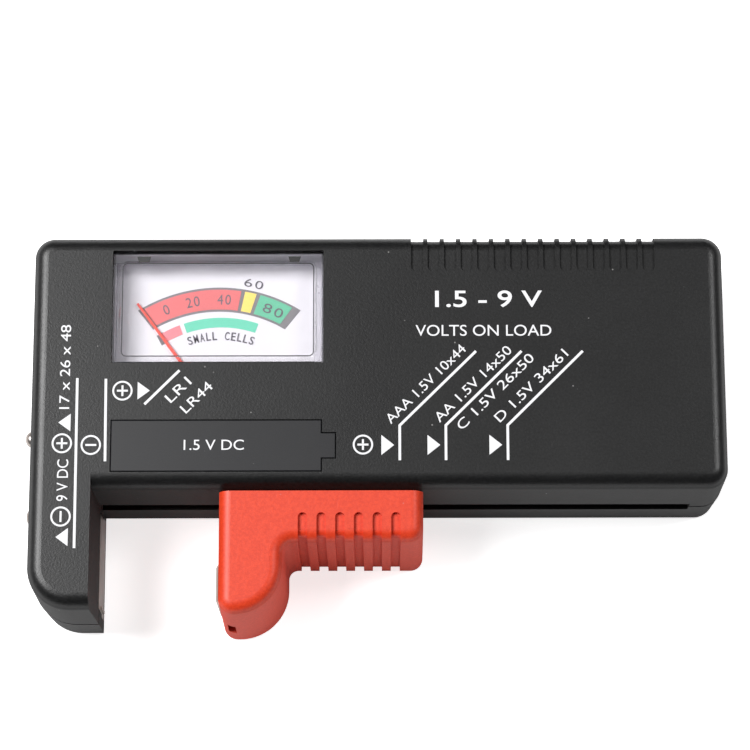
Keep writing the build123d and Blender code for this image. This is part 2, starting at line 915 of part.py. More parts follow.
def grip_ribs():
    """Thumb grooves of the sliding arm as a skin-deep layer."""
    core = grip_block(rib_depth, grip_foot - 1)
    start = grip_back - rib_start
    grooves = []
    for index in range(rib_count):
        x = left + grip_left + rib_first + index * rib_pitch
        cut = block(x, x + rib_width, start - grip_reach, start - rib_width / 2, -1, grip_height + 1)
        cut += rod(x + rib_width / 2, start - rib_width / 2, -1, grip_height + 1, rib_width / 2)
        grooves.append(cut - core)
    return grooves


def slider_grip():
    """Red sliding arm: hollow from below, with the tongue that passes through the slot."""
    grip = grip_block(0, grip_foot)
    for layer in grip_ribs():
        grip -= layer
    hollow = grip_block(grip_wall + rib_depth, grip_foot - 1)
    hollow &= block(left, right, arm_end - 5, grip_back - grip_wall, -2, grip_height)
    grip -= hollow
    grip += block(tongue_left, tongue_right, grip_back - 0.5, carriage_front, tongue_bottom, tongue_top)
    for x in small_screw_xs:
        grip += rod_y(x, grip_back - 5.0, grip_back - 1.0, small_screw_z, 2.0)
        grip -= rod_y(x, grip_back - 4.4, carriage_front + 1, small_screw_z, small_screw_radius - 0.1)
    tip = grip_back - grip_arm_reach
    face = strip_places()[0]
    grip -= block(face + 0.9, face + 2.2, tip - 1, tip + 2.6, hook_bottom, hook_top)
    return grip - contact_strip(0.05)


def strip_places():
    """Left face of the contact strip and the ends of its visible stretch."""
    face = left + grip_left + strip_setback
    return face, grip_back - 17.2, grip_back - 2.6


def contact_strip(grow=0.0):
    """Strip on the arm's left face, with a hooked foot and a leg through the slot."""
    x0, y_far, y_near = strip_places()
    t = strip_thickness
    bow = strip_bow
    plan = Polyline(
        (x0, y_near),
        (x0, y_far + bow_start),
        (x0 - bow, y_far + bow_start - bow_slope),
        (x0 - bow, y_far + bow_slope),
        (x0, y_far),
        (x0 + t, y_far),
        (x0 + t - bow, y_far + bow_slope),
        (x0 + t - bow, y_far + bow_start - bow_slope),
        (x0 + t, y_far + bow_start),
        (x0 + t, y_near),
        close=True,
    )
    plate = Pos(0, 0, strip_bottom) * extrude(make_face(plan), amount=strip_top - strip_bottom)
    hook_right = x0 + 2.2 + grow
    hook_back = y_far + t + grow
    hook = block(x0 - grow, hook_right, y_far - grow, hook_back, hook_bottom - grow, hook_top + grow)
    z0, z1 = tongue_bottom + 0.1, tongue_top - 0.1
    leg_x = tongue_left - t - 0.25
    jog = block(x0 - grow, leg_x + t + grow, y_near - t - grow, y_near + grow, z0 - grow, z1 + grow)
    leg = block(
        leg_x - grow, leg_x + t + grow, y_near - t - grow, carriage_back + t + grow, z0 - grow, z1 + grow
    )
    foot_right = small_screw_xs[0] + 2.0 + grow
    foot = block(leg_x - grow, foot_right, carriage_back, carriage_back + t + grow, z0, z1)
    return plate + hook + jog + leg + foot


def small_screw_hole(x):
    """Clearance hole for one of the slider's screws."""
    return rod_y(x, carriage_front - 1, carriage_back + 2, small_screw_z, small_screw_radius + 0.1)


def slider_contact():
    """Metal strip of the sliding arm."""
    return contact_strip() - small_screw_hole(small_screw_xs[0])


def slider_carriage():
    """Block behind the wall that keeps the sliding arm in its slot."""
    block_shape = block(
        tongue_left, tongue_right, carriage_front, carriage_back, carriage_bottom, carriage_top
    )
    block_shape = chamfer(block_shape.edges().filter_by(Axis.Z), 0.4)
    for x in small_screw_xs:
        block_shape -= small_screw_hole(x)
    return block_shape


def slider_wiper():
    """Sprung leaf on the back of the carriage that touches the runner strip."""
    y0 = carriage_back + strip_thickness
    z0, z1 = small_screw_z - 1.2, small_screw_z + 1.2
    t = 0.25
    x0 = small_screw_xs[0] - 1.8
    leaf_start = small_screw_xs[0] + 2.2
    touch = runner_front - 0.03 - y0
    flat = block(x0, leaf_start, y0, y0 + t, z0, z1)
    rise = Polyline(
        (leaf_start - 0.2, y0),
        (leaf_start + 5.0, y0 + touch - t),
        (leaf_start + 7.0, y0 + touch - t),
        (leaf_start + 8.0, y0 + touch - t - 0.5),
        (leaf_start + 8.0, y0 + touch - 0.5),
        (leaf_start + 7.0, y0 + touch),
        (leaf_start + 5.0, y0 + touch),
        (leaf_start - 0.2, y0 + t),
        close=True,
    )
    leaf = Pos(0, 0, z0) * extrude(make_face(rise), amount=z1 - z0)
    wiper = flat + leaf
    return wiper - small_screw_hole(small_screw_xs[0])


def slider_screws():
    """Two screws from inside the case, through the carriage into the grip."""
    screws = []
    seats = (carriage_back + strip_thickness + 0.25, carriage_back)
    for x, seat in zip(small_screw_xs, seats):
        screw = rod_y(x, grip_back - 3.8, seat, small_screw_z, small_screw_radius)
        screw += rod_y(x, seat, seat + 0.6, small_screw_z, small_screw_head)
        screw -= block(x - 1, x + 1, seat + 0.35, seat + 1, small_screw_z - 0.15, small_screw_z + 0.15)
        screws.append(screw)
    return Compound(children=screws)


def housing_screws():
    """Four self-tapping screws through the rear shell."""
    screws = []
    seat = screw_head_height + 0.6
    for x, y in boss_places:
        screw = rod(x, y, seat, screw_length, screw_radius)
        screw += rod(x, y, seat - screw_head_height, seat, screw_head_radius)
        for turn in (0, 90):
            slot = Pos(x, y, seat - screw_head_height) * Rot(0, 0, turn) * Box(2.6, 0.5, 1.4)
            screw -= slot
        screws.append(screw)
    return Compound(children=screws)


def build():
    """Every piece by its node name."""
    upper, lower = solid_halves()
    pieces = {
        "front_shell": front_shell(upper),
        "rear_shell": rear_shell(lower),
        "insert_panel": insert_panel(),
        "meter_window": meter_window(),
        "meter_case": meter_case(),
        "dial_plate": dial_plate(),
        "meter_yoke": meter_yoke(),
        "meter_core": meter_core(),
        "core_spacers": core_spacers(),
        "coil_former": coil_former(),
        "coil_winding": coil_winding(),
        "front_pivot": front_pivot(),
        "rear_pivot": rear_pivot(),
        "front_bearing": front_bearing(),
        "rear_bearing": rear_bearing(),
        "front_bridge": front_bridge(),
        "rear_bridge": rear_bridge(),
        "bridge_pillars": bridge_pillars(),
        "bridge_screws": bridge_screws(),
        "zero_arm": zero_arm(),
        "needle_hub": needle_hub(),
        "balance_weights": balance_weights(),
        "needle": needle(),
        "front_hairspring": hairspring(bridge_bottom - 0.65),
        "rear_hairspring": hairspring(tray_floor + 0.85),
        "meter_terminals": meter_terminals(),
        "fixed_contact": fixed_contact(),
        "contact_9v_positive": terminal_stud(positive_stud_y, positive_stud_reach),
        "contact_9v_negative": terminal_stud(negative_stud_y, negative_stud_reach),
        "runner_strip": runner_strip(),
        "slider_grip": slider_grip(),
        "slider_contact": slider_contact(),
        "slider_carriage": slider_carriage(),
        "slider_wiper": slider_wiper(),
        "slider_screws": slider_screws(),
        "housing_screws": housing_screws(),
    }
    pieces.update(resistors())
    pieces.update(wires())
    return pieces


os.makedirs("parts", exist_ok=True)
for name, shape in build().items():
    export_step(shape, f"parts/{name}.step")
    print(name, round(shape.volume, 3))
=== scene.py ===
"""Looks of a hand-held battery tester: moulded plastics, printed marks, dial, contacts and studio."""

import json
import math

import bmesh
import bpy
from mathutils import Matrix, Vector


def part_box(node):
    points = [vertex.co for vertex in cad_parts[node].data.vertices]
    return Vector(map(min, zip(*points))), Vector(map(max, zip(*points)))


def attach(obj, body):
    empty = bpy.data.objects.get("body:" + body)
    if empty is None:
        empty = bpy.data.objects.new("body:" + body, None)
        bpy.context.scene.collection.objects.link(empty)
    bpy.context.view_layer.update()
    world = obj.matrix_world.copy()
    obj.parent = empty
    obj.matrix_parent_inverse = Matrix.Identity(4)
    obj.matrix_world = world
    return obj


MM = 0.001

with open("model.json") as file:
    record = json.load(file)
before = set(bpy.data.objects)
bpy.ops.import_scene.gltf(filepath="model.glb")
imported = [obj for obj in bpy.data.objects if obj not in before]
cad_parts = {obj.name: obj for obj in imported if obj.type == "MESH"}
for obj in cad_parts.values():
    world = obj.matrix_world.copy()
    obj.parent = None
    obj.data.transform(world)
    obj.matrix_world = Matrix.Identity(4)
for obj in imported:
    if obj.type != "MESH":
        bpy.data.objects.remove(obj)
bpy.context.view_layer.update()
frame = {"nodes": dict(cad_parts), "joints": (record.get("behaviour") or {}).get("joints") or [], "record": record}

rear_low, rear_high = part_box("rear_shell")
front_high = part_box("front_shell")[1]
dial_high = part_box("dial_plate")[1]
window_low, window_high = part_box("meter_window")
CASE_LEFT = rear_low.x / MM
CASE_FRONT = -rear_high.y / MM
CASE_TOP = front_high.z / MM
CARD_TOP = dial_high.z / MM
PIVOT_X = next(j for j in frame["joints"] if j["name"] == "needle_swing")["pos_m"][0] / MM

INK_THICKNESS = 0.03
WALL_ROUGHNESS = 0.75
DUST_SHADE = (0.42, 0.41, 0.40)
PANE_SIDE = 2.0 * MM
PANE_FRONT = 1.6 * MM
PANE_BACK = 2.4 * MM


# ---------------------------------------------------------------- shader tools


class Board:
    """A node tree with short calls for adding and joining nodes."""

    def __init__(self, tree):
        self.tree = tree

    def add(self, kind, **values):
        node = self.tree.nodes.new(kind)
        for name, value in values.items():
            if hasattr(node, name):
                setattr(node, name, value)
            else:
                node.inputs[name.replace("_", " ")].default_value = value
        return node

    def join(self, source, target):
        self.tree.links.new(source, target)

    def noise(self, vector, scale, detail=2.0, roughness=0.5):
        node = self.add("ShaderNodeTexNoise", Scale=scale, Detail=detail, Roughness=roughness)
        self.join(vector, node.inputs["Vector"])
        return node.outputs["Fac"]

    def ramp(self, value, stops):
        node = self.add("ShaderNodeValToRGB")
        ramp = node.color_ramp
        while len(ramp.elements) < len(stops):
            ramp.elements.new(0.5)
        for element, (place, shade) in zip(ramp.elements, stops):
            element.position = place
            element.color = (*shade, 1.0) if isinstance(shade, tuple) else (shade, shade, shade, 1.0)
        self.join(value, node.inputs["Fac"])
        return node.outputs["Color"]

    def sum(self, first, second, weight_first, weight_second):
        return self.math("ADD", self.scale(first, weight_first), self.scale(second, weight_second))

    def scale(self, value, factor):
        node = self.add("ShaderNodeMath", operation="MULTIPLY")
        self.join(value, node.inputs[0])
        node.inputs[1].default_value = factor
        return node.outputs[0]

    def span(self, value, low, high, start=0.0, end=1.0):
        """Low to high as the value goes from start to end."""
        node = self.add("ShaderNodeMapRange", clamp=True)
        self.join(value, node.inputs["Value"])
        limits = {"From Min": start, "From Max": end, "To Min": low, "To Max": high}
        for label, number in limits.items():
            node.inputs[label].default_value = number
        return node.outputs["Result"]

    def math(self, operation, first, second):
        node = self.add("ShaderNodeMath", operation=operation)
        self.join(first, node.inputs[0])
        self.join(second, node.inputs[1])
        return node.outputs[0]

    def blend(self, mask, first, second):
        node = self.add("ShaderNodeMix", data_type="RGBA")
        self.join(mask, node.inputs["Factor"])
        for socket, colour in ((node.inputs[6], first), (node.inputs[7], second)):
            if isinstance(colour, tuple):
                socket.default_value = (*colour, 1.0)
            else:
                self.join(colour, socket)
        return node.outputs[2]


def effect(name, inputs, outputs):
    """Empty shader node group with float inputs and outputs, plus its vector input."""
    group = bpy.data.node_groups.new(name, "ShaderNodeTree")
    group.interface.new_socket("Place", in_out="INPUT", socket_type="NodeSocketVector")
    for label, value in inputs.items():
        socket = group.interface.new_socket(label, in_out="INPUT", socket_type="NodeSocketFloat")
        socket.default_value = value
    for label in outputs:
        group.interface.new_socket(label, in_out="OUTPUT", socket_type="NodeSocketFloat")
    board = Board(group)
    return group, board, board.add("NodeGroupInput"), board.add("NodeGroupOutput")


def spark_grain():
    """Fine pitted surface of a spark-eroded mould: height and a light and dark speckle."""
    group, board, given, out = effect("spark_grain", {"Grain per metre": 2600.0}, ["Height", "Speckle"])
    coarse = board.add("ShaderNodeTexNoise", Detail=2.0, Roughness=0.6)
    board.join(given.outputs["Place"], coarse.inputs["Vector"])
    board.join(given.outputs["Grain per metre"], coarse.inputs["Scale"])
    fine = board.add("ShaderNodeTexNoise", Detail=1.0, Roughness=0.5)
    board.join(given.outputs["Place"], fine.inputs["Vector"])
    board.join(board.scale(given.outputs["Grain per metre"], 2.7), fine.inputs["Scale"])
    height = board.sum(coarse.outputs["Fac"], fine.outputs["Fac"], 0.65, 0.35)
    board.join(height, out.inputs["Height"])
    board.join(board.ramp(height, [(0.40, 0.0), (0.62, 1.0)]), out.inputs["Speckle"])
    return group


def stray_dust():
    """Rare pale specks that have settled on a surface."""
    group, board, given, out = effect("stray_dust", {"Specks per metre": 420.0, "Amount": 1.0}, ["Mask"])
    cells = board.add("ShaderNodeTexVoronoi", feature="F1")
    board.join(given.outputs["Place"], cells.inputs["Vector"])
    board.join(given.outputs["Specks per metre"], cells.inputs["Scale"])
    dots = board.ramp(cells.outputs["Distance"], [(0.03, 1.0), (0.07, 0.0)])
    chance = board.ramp(board.noise(given.outputs["Place"], 260.0, 0.0), [(0.60, 0.0), (0.68, 1.0)])
    specks = board.math("MULTIPLY", dots, chance)
    board.join(board.math("MULTIPLY", specks, given.outputs["Amount"]), out.inputs["Mask"])
    return group


def slow_mottle():
    """Broad, faint unevenness in shade and gloss."""
    group, board, given, out = effect("slow_mottle", {"Patches per metre": 60.0}, ["Fac"])
    cloud = board.add("ShaderNodeTexNoise", Detail=3.0, Roughness=0.55)
    board.join(given.outputs["Place"], cloud.inputs["Vector"])
    board.join(given.outputs["Patches per metre"], cloud.inputs["Scale"])
    board.join(cloud.outputs["Fac"], out.inputs["Fac"])
    return group


def brushed_lines():
    """Long fine lines left by rolling or brushing, running along Y."""
    group, board, given, out = effect("brushed_lines", {"Lines per metre": 5200.0}, ["Height"])
    stretch = board.add("ShaderNodeMapping")
    stretch.inputs["Scale"].default_value = (1.0, 0.06, 1.0)
    board.join(given.outputs["Place"], stretch.inputs["Vector"])
    lines = board.add("ShaderNodeTexNoise", Detail=3.0, Roughness=0.6)
    board.join(stretch.outputs["Vector"], lines.inputs["Vector"])
    board.join(given.outputs["Lines per metre"], lines.inputs["Scale"])
    board.join(lines.outputs["Fac"], out.inputs["Height"])
    return group


EFFECTS = {
    "grain": spark_grain(),
    "dust": stray_dust(),
    "mottle": slow_mottle(),
    "lines": brushed_lines(),
}


class Finish(Board):
    """One material: a Principled shader and the places of the surface."""

    def __init__(self, name, metallic=0.0, ior=1.5):
        self.material = bpy.data.materials.new(name)
        self.material.use_nodes = True
        super().__init__(self.material.node_tree)
        self.shader = self.tree.nodes["Principled BSDF"]
        self.shader.inputs["Metallic"].default_value = metallic
        self.shader.inputs["IOR"].default_value = ior
        self.surface = self.add("ShaderNodeTexCoord")
        self.place = self.surface.outputs["Object"]

    def use(self, effect_name, **values):
        node = self.add("ShaderNodeGroup", node_tree=EFFECTS[effect_name])
        self.join(self.place, node.inputs["Place"])
        for label, value in values.items():
            node.inputs[label.replace("_", " ")].default_value = value
        return node.outputs

    def facing_up(self):
        """1 on faces that look up or down and 0 on walls."""
        split = self.add("ShaderNodeSeparateXYZ")
        self.join(self.surface.outputs["Normal"], split.inputs["Vector"])
        node = self.add("ShaderNodeMath", operation="ABSOLUTE")
        self.join(split.outputs["Z"], node.inputs[0])
        return node.outputs[0]

    def colour(self, value):
        self.join(value, self.shader.inputs["Base Color"])

    def roughness(self, value):
        self.join(value, self.shader.inputs["Roughness"])

    def bump(self, height, depth_mm, strength=1.0):
        node = self.add("ShaderNodeBump", Strength=strength, Distance=depth_mm * MM)
        self.join(height, node.inputs["Height"])
        self.join(node.outputs["Normal"], self.shader.inputs["Normal"])


def grained_plastic(name, dark, light, grain, depth_mm, gloss, dust):
    """Moulded plastic with a spark grain, duller on its walls, faint unevenness and a little dust."""
    finish = Finish(name)
    grain_out = finish.use("grain", Grain_per_metre=grain)
    uneven = finish.use("mottle")["Fac"]
    speckled = finish.blend(grain_out["Speckle"], dark, light)
    dusted = finish.blend(finish.use("dust", Amount=dust)["Mask"], speckled, DUST_SHADE)
    finish.colour(dusted)
    low, high = gloss
    duller_wall = finish.span(finish.facing_up(), WALL_ROUGHNESS, 0.0, 0.3, 0.97)
    finish.roughness(finish.math("MAXIMUM", finish.span(uneven, low, high), duller_wall))
    finish.bump(grain_out["Height"], depth_mm)
    return finish.material


def smooth_plastic(name, colour, gloss, depth_mm=0.004):
    """Satin or glossy plastic with a soft unevenness."""
    finish = Finish(name)
    uneven = finish.use("mottle", Patches_per_metre=140.0)["Fac"]
    deeper = tuple(channel * 0.86 for channel in colour)
    finish.colour(finish.blend(uneven, deeper, colour))
    finish.roughness(finish.span(uneven, gloss - 0.05, gloss + 0.07))
    finish.bump(uneven, depth_mm)
    return finish.material


def metal(name, bright, dull, gloss, lines=5200.0):
    """Rolled or plated metal with fine lines and duller patches."""
    finish = Finish(name, metallic=1.0)
    uneven = finish.use("mottle", Patches_per_metre=220.0)["Fac"]
    finish.colour(finish.blend(finish.ramp(uneven, [(0.35, 0.0), (0.65, 1.0)]), dull, bright))
    height = finish.use("lines", Lines_per_metre=lines)["Height"]
    finish.roughness(finish.span(height, gloss - 0.08, gloss + 0.12))
    finish.bump(height, 0.003)
    return finish.material


def ink(name, colour):
    """Screen-printed ink, a little uneven in cover."""
    finish = Finish(name)
    uneven = finish.use("mottle", Patches_per_metre=1900.0)["Fac"]
    thin = tuple(channel * 0.9 for channel in colour)
    finish.colour(finish.blend(uneven, thin, colour))
    finish.roughness(finish.span(uneven, 0.45, 0.62))
    finish.bump(uneven, 0.004)
    return finish.material


def card(name, colour):
    """Printed satin card of the dial."""
    finish = Finish(name)
    fibre = finish.use("grain", Grain_per_metre=5200.0)["Height"]
    shade = tuple(channel * 0.97 for channel in colour)
    finish.colour(finish.blend(fibre, shade, colour))
    finish.roughness(finish.span(fibre, 0.5, 0.6))
    finish.bump(fibre, 0.002)
    return finish.material


def rim_frost_and_shade(finish, shade_by_x, shade_by_y, low, high, soft):
    """1 on the cover's moulded rim and 0 on its pane, with one value for each side; the values that differ by side
    are painted shade.
    """
    split = finish.add("ShaderNodeSeparateXYZ")
    finish.join(finish.place, split.inputs["Vector"])
    mask = None
    for axis, edge, strength, outward in (
        ("X", low.x, shade_by_x[0], -1),
        ("X", high.x, shade_by_x[1], 1),
        ("Y", low.y, shade_by_y[0], -1),
        ("Y", high.y, shade_by_y[1], 1),
    ):
        start, end = edge - outward * soft, edge + outward * soft
        side = finish.span(split.outputs[axis], 0.0, strength, start, end)
        mask = finish.math("MAXIMUM", mask, side) if mask else side
    return mask


def clear_plastic(name):
    """Clear moulded cover with a rim greyed partly as frosting and partly as painted shade, darkest at the back;
    light passes it on its way to the dial.
    """
    finish = Finish(name, ior=1.45)
    finish.shader.inputs["Transmission Weight"].default_value = 1.0
    low = Vector((window_low.x + PANE_SIDE, window_low.y + PANE_FRONT, 0.0))
    high = Vector((window_high.x - PANE_SIDE, window_high.y - PANE_BACK, 0.0))
    # Rim grey strength by side (left, right, front, back) is painted shade: the back rim is darkest, the front and
    # left palest.
    mask = rim_frost_and_shade(finish, (0.32, 0.75), (0.30, 1.0), low, high, 0.15 * MM)
    # The rim grey (0.52, 0.51, 0.55) is frosting plus painted shade.
    finish.colour(finish.blend(mask, (0.985, 0.975, 1.0), (0.52, 0.51, 0.55)))
    uneven = finish.use("mottle", Patches_per_metre=700.0)["Fac"]
    finish.roughness(finish.math("MULTIPLY", mask, finish.span(uneven, 0.30, 0.50)))
    finish.bump(uneven, 0.002, 0.2)
    light = finish.add("ShaderNodeLightPath")
    through = finish.add("ShaderNodeBsdfTransparent")
    mix = finish.add("ShaderNodeMixShader")
    shadow, diffuse = light.outputs["Is Shadow Ray"], light.outputs["Is Diffuse Ray"]
    lit_through = finish.math("MAXIMUM", shadow, diffuse)
    shaded = finish.math("MULTIPLY", lit_through, finish.span(mask, 1.0, 0.35))
    finish.join(shaded, mix.inputs["Fac"])
    finish.join(finish.shader.outputs["BSDF"], mix.inputs[1])
    finish.join(through.outputs["BSDF"], mix.inputs[2])
    output = finish.tree.nodes["Material Output"]
    finish.join(mix.outputs["Shader"], output.inputs["Surface"])
    return finish.material


def wound_copper(name):
    """Enamelled copper turns lying side by side."""
    finish = Finish(name, metallic=0.9)
    turns = finish.add("ShaderNodeTexWave", wave_type="BANDS", bands_direction="Z", Scale=9000.0)
    finish.join(finish.place, turns.inputs["Vector"])
    shade = turns.outputs["Fac"]
    finish.colour(finish.blend(shade, (0.28, 0.07, 0.02), (0.75, 0.28, 0.12)))
    finish.roughness(finish.span(shade, 0.35, 0.25))
    finish.bump(shade, 0.05)
    return finish.material


def banded_resistor(name):
    """Lacquered resistor body with colour rings along its length."""
    finish = Finish(name)
    rings = finish.add("ShaderNodeTexWave", wave_type="BANDS", bands_direction="Y", Scale=85.0)
    finish.join(finish.place, rings.inputs["Vector"])
    mask = finish.ramp(rings.outputs["Fac"], [(0.80, 0.0), (0.86, 1.0)])
    finish.colour(finish.blend(mask, (0.30, 0.45, 0.55), (0.35, 0.10, 0.03)))
    finish.roughness(finish.span(finish.use("mottle")["Fac"], 0.2, 0.35))
    return finish.material


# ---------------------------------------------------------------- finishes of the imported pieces

CASE_PLASTIC = grained_plastic(
    "case_plastic", (0.0025, 0.0025, 0.0026), (0.0085, 0.0085, 0.0088), 2600.0, 0.032, (0.34, 0.42), 0.55
)
PANEL_PLASTIC = grained_plastic(
    "panel_plastic", (0.006, 0.006, 0.0075), (0.010, 0.010, 0.012), 5200.0, 0.008, (0.38, 0.45), 0.5
)
RED_PLASTIC = grained_plastic(
    "red_plastic", (0.62, 0.034, 0.006), (0.72, 0.050, 0.011), 2100.0, 0.030, (0.42, 0.50), 0.25
)
BLACK_PLASTIC = smooth_plastic("carriage_plastic", (0.02, 0.02, 0.02), 0.4)
WHITE_PLASTIC = smooth_plastic("tray_plastic", (0.80, 0.79, 0.83), 0.4)
CLEAR_PLASTIC = clear_plastic("cover_plastic")
# Dark smoky colour of the pane's edge line: painted shade for the refraction at the pane's step.
PANE_EDGE_SHADE = smooth_plastic("pane_edge_shade", (0.045, 0.043, 0.05), 0.3)
DIAL_CARD = card("dial_card", (0.76, 0.745, 0.78))
NICKEL = metal("nickel_plate", (0.46, 0.41, 0.38), (0.30, 0.26, 0.24), 0.34)
ZINC = metal("zinc_screw", (0.62, 0.62, 0.60), (0.42, 0.42, 0.41), 0.32)
BRASS = metal("stamped_brass", (0.80, 0.60, 0.28), (0.58, 0.42, 0.20), 0.28)
BRONZE = metal("spring_bronze", (0.74, 0.46, 0.26), (0.52, 0.32, 0.18), 0.25)
IRON = metal("soft_iron", (0.50, 0.50, 0.51), (0.34, 0.34, 0.35), 0.4)
ALUMINIUM = metal("aluminium_foil", (0.80, 0.80, 0.82), (0.62, 0.62, 0.64), 0.3)
COPPER = wound_copper("copper_turns")
JEWEL = smooth_plastic("ruby_jewel", (0.50, 0.02, 0.08), 0.08)
RESISTOR = banded_resistor("resistor_lacquer")
BLACK_WIRE = smooth_plastic("black_insulation", (0.015, 0.015, 0.015), 0.45)
RED_WIRE = smooth_plastic("red_insulation", (0.55, 0.02, 0.015), 0.45)
NEEDLE_PAINT = smooth_plastic("needle_paint", (0.80, 0.085, 0.06), 0.4)

SLOT_FINISH = {
    "black_case": CASE_PLASTIC,
    "black_panel": PANEL_PLASTIC,
    "clear_cover": CLEAR_PLASTIC,
    "white_tray": WHITE_PLASTIC,
    "printed_scale": DIAL_CARD,
    "soft_iron": IRON,
    "magnet": IRON,
    "brass": BRASS,
    "jewel": JEWEL,
    "plated_screw": ZINC,
    "spring_bronze": BRONZE,
    "nickel_contact": NICKEL,
    "resistor_body": RESISTOR,
    "black_wire": BLACK_WIRE,
    "red_wire": RED_WIRE,
    "red_grip": RED_PLASTIC,
    "black_carriage": BLACK_PLASTIC,
    "red_needle": NEEDLE_PAINT,
    "aluminium_former": ALUMINIUM,
    "copper_winding": COPPER,
}


def dress_packed_pieces():
    """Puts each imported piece's finish in its material slot."""
    for row in frame["record"]["subparts"]:
        mesh = frame["nodes"][row["node"]].data
        mesh.materials.clear()
        mesh.materials.append(SLOT_FINISH[row["material_slot"]])


# ---------------------------------------------------------------- printed marks


def circle(centre, radius, steps=40):
    x, y = centre
    turn = [2 * math.pi * step / steps for step in range(steps)]
    return [(x + radius * math.cos(angle), y + radius * math.sin(angle)) for angle in turn]


def rounded_box(low, high, radius, steps=8):
    """Outline of a rectangle with round corners."""
    points = []
    corners = ((high[0], high[1]), (low[0], high[1]), (low[0], low[1]), (high[0], low[1]))
    for quarter, (x, y) in enumerate(corners):
        inward = (-1 if x == high[0] else 1, -1 if y == high[1] else 1)
        centre = (x + inward[0] * radius, y + inward[1] * radius)
        for step in range(steps + 1):
            angle = math.pi / 2 * (quarter + step / steps)
            points.append((centre[0] + radius * math.cos(angle), centre[1] + radius * math.sin(angle)))
    return points


class Print:
    """Ink on a flat face, drawn in millimetres and raised by its own thickness."""

    def __init__(self, height, inks):
        self.mesh = bmesh.new()
        self.low = (height - 0.01) * MM
        self.high = (height + INK_THICKNESS) * MM
        self.inks = inks

    def prism(self, points, colour=0):
        low = [self.mesh.verts.new((x * MM, y * MM, self.low)) for x, y in points]
        high = [self.mesh.verts.new((x * MM, y * MM, self.high)) for x, y in points]
        faces = [self.mesh.faces.new(low[::-1]), self.mesh.faces.new(high)]
        for index in range(len(points)):
            after = (index + 1) % len(points)
            faces.append(self.mesh.faces.new((low[index], low[after], high[after], high[index])))
        for face in faces:
            face.material_index = colour

    def bar(self, start, end, width, colour=0):
        along = (Vector(end) - Vector(start)).normalized()
        side = Vector((-along.y, along.x)) * width / 2
        corners = [Vector(start) - side, Vector(end) - side, Vector(end) + side, Vector(start) + side]
        self.prism([tuple(corner) for corner in corners], colour)

    def path(self, points, width, colour=0):
        """Bent line of even width, mitred at its bends."""
        spots = [Vector(point) for point in points]
        left, right = [], []
        for index, spot in enumerate(spots):
            before = (spot - spots[index - 1]).normalized() if index else (spots[1] - spot).normalized()
            after = (spots[index + 1] - spot).normalized() if index < len(spots) - 1 else before
            across = Vector((-(before + after).y, (before + after).x)).normalized()
            stretch = width / 2 / max(across.dot(Vector((-before.y, before.x))), 0.3)
            left.append(tuple(spot + across * stretch))
            right.append(tuple(spot - across * stretch))
        self.prism(right + left[::-1], colour)

    def hoop(self, inner, outer, colour=0):
        """Closed line between two loops with as many points as each other."""
        levels = ((inner, self.low), (outer, self.low), (outer, self.high), (inner, self.high))
        loops = [
            [self.mesh.verts.new((x * MM, y * MM, height)) for x, y in points]
            for points, height in levels
        ]
        for level in range(4):
            first, second = loops[level], loops[(level + 1) % 4]
            for step in range(len(inner)):
                after = (step + 1) % len(inner)
                face = self.mesh.faces.new((first[step], first[after], second[after], second[step]))
                face.material_index = colour

    def ring(self, centre, inner, outer, colour=0):
        self.hoop(circle(centre, inner), circle(centre, outer), colour)

    def band(self, centre, inner, outer, start, end, colour=0, steps=24):
        """Part of a ring between two angles from straight up, clockwise, in degrees.

        inner and outer are a radius each; start and end are an (inner, outer) pair of angles each.
        """
        edge = []
        for step in range(steps + 1):
            share = step / steps
            angle = math.radians(start[1] + (end[1] - start[1]) * share)
            edge.append((centre[0] + outer * math.sin(angle), centre[1] + outer * math.cos(angle)))
        for step in range(steps, -1, -1):
            share = step / steps
            angle = math.radians(start[0] + (end[0] - start[0]) * share)
            edge.append((centre[0] + inner * math.sin(angle), centre[1] + inner * math.cos(angle)))
        self.prism(edge[::-1], colour)

    def words(self, text, centre, width, height, turn=0.0, colour=0, weight=0.0):
        """Lettering that fills width by height about a centre, turned by degrees."""
        curve = bpy.data.curves.new("lettering", "FONT")
        curve.body = text
        curve.resolution_u = 5
        curve.extrude = 0.05
        curve.offset = weight
        draft = bpy.data.objects.new("lettering", curve)
        bpy.context.scene.collection.objects.link(draft)
        graph = bpy.context.evaluated_depsgraph_get()
        letters = bpy.data.meshes.new_from_object(draft.evaluated_get(graph))
        bpy.data.objects.remove(draft)
        bpy.data.curves.remove(curve)
        xs = [vertex.co.x for vertex in letters.vertices]
        ys = [vertex.co.y for vertex in letters.vertices]
        zs = [vertex.co.z for vertex in letters.vertices]
        wide, tall, deep = max(xs) - min(xs), max(ys) - min(ys), max(zs) - min(zs)
        middle = Vector(((max(xs) + min(xs)) / 2, (max(ys) + min(ys)) / 2, min(zs)))
        thick = (self.high - self.low) / deep
        size = Matrix.Diagonal((width / wide * MM, height / tall * MM, thick, 1.0))
        place = Matrix.Translation((centre[0] * MM, centre[1] * MM, self.low))
        swing = Matrix.Rotation(math.radians(turn), 4, "Z")
        letters.transform(place @ swing @ size @ Matrix.Translation(-middle))
        already = len(self.mesh.faces)
        self.mesh.from_mesh(letters)
        self.mesh.faces.ensure_lookup_table()
        for face in self.mesh.faces[already:]:
            face.material_index = colour
        bpy.data.meshes.remove(letters)

    def curved_words(self, text, centre, radius, start, end, height, colour=0, weight=0.0):
        """Lettering set along an arc, one letter at a time; radius is to the letters' middle."""
        advance = (end - start) / max(len(text) - 1, 1)
        for index, letter in enumerate(text):
            if letter == " ":
                continue
            angle = start + advance * index
            reach = math.radians(angle)
            spot = (centre[0] + radius * math.sin(reach), centre[1] + radius * math.cos(reach))
            narrow = 0.35 if letter in "1I.!" else 1.0
            wide = abs(math.radians(advance)) * radius * 0.72 * narrow
            tall = height if letter not in ".-" else height * 0.18
            self.words(letter, spot, wide, tall, -angle, colour, weight)

